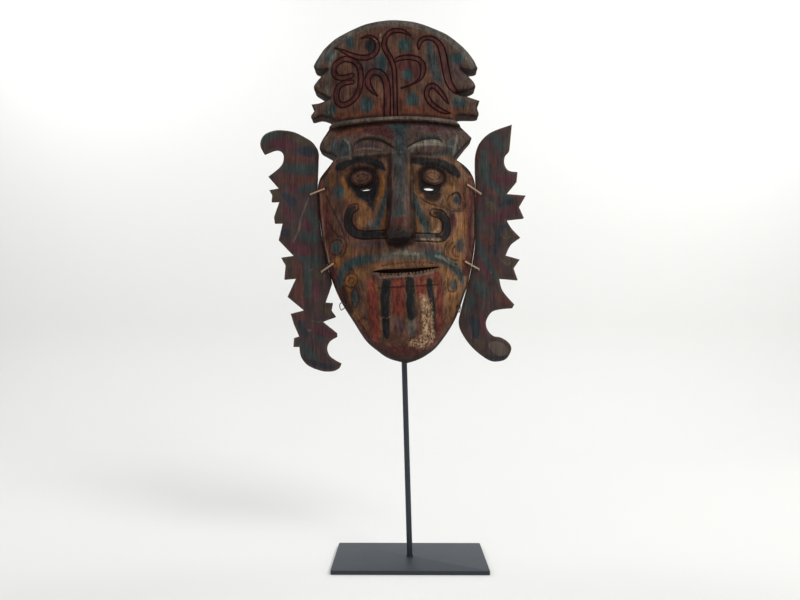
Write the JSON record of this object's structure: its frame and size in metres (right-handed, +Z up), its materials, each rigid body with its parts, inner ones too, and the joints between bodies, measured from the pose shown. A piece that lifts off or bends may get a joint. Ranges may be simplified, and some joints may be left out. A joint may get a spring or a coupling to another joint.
{
  "type": "carved ceremonial mask on a stand",
  "caption": "Painted wooden spirit mask with a scroll-carved crest, long nose, pierced eye slits and lashed notched ear boards, held up by a steel rod on a flat foot plate.",
  "frame": {"origin": "centre of the foot plate's underside, on the table", "axes": "+Z up, the mask's face towards -Y, +X to the viewer's right; the rod and mask lean 1.6 degrees towards -X"},
  "size_m": [0.3661, 0.1398, 0.7298],
  "materials": {
    "painted_wood": "ochre, dark red, teal and black earth paint over carved wood, worn and matte",
    "ear_paint": "patchy dark red and dark teal paint over flat wood, matte",
    "rattan": "split rattan, dry",
    "dark_wire": "old dark iron wire",
    "blackened_steel": "matte black powder coat"
  },
  "bodies": {
    "root": {"mask": "painted_wood", "ear_board_left": "ear_paint", "ear_board_right": "ear_paint", "tie_upper_left": "rattan", "tie_lower_left": "rattan", "tie_upper_right": "rattan", "tie_lower_right": "rattan", "jaw_loop_left": "dark_wire", "jaw_loop_right": "dark_wire", "base_plate": "blackened_steel", "rod": "blackened_steel", "bracket": "blackened_steel"}
  },
  "joints": []
}
